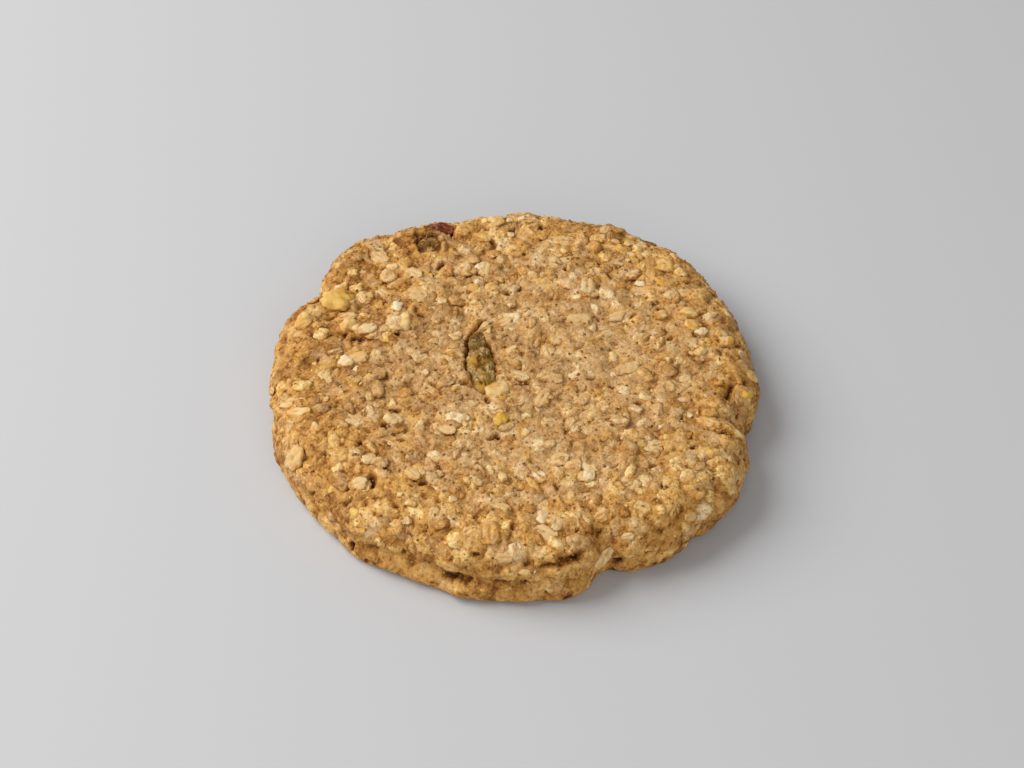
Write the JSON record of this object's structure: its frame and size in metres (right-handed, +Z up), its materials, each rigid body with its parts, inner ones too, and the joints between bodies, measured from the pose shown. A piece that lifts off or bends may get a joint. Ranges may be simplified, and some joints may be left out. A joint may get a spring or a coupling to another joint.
{
  "type": "oatmeal cookie",
  "caption": "Round, hand-pressed oatmeal cookie with a lumpy top of oat flakes and chopped nuts, a cracked side, a flat underside and dried fruit set in the dough.",
  "frame": {"origin": "middle of the cookie's box, on the flat underside that it rests on", "axes": "+Z up out of the lumpy top; -Y the side with the long crack and the notch; +X to the right seen from there"},
  "size_m": [0.0885, 0.0893, 0.0133],
  "materials": {
    "baked_dough": "dry baked oat dough, golden brown, rough and crumbly; matte_plastic stands in for food",
    "golden_raisin_skin": "translucent olive gold fruit skin, wrinkled, slightly wet; gloss_plastic stands in for food",
    "dark_raisin_skin": "olive brown fruit skin, wrinkled, slightly wet; gloss_plastic stands in for food",
    "cranberry_skin": "dark red fruit skin, wrinkled, glossy; gloss_plastic stands in for food"
  },
  "bodies": {
    "root": {"cookie": "baked_dough", "golden_raisin": "golden_raisin_skin", "dark_raisin": "dark_raisin_skin", "dried_cranberry": "cranberry_skin"}
  },
  "joints": []
}
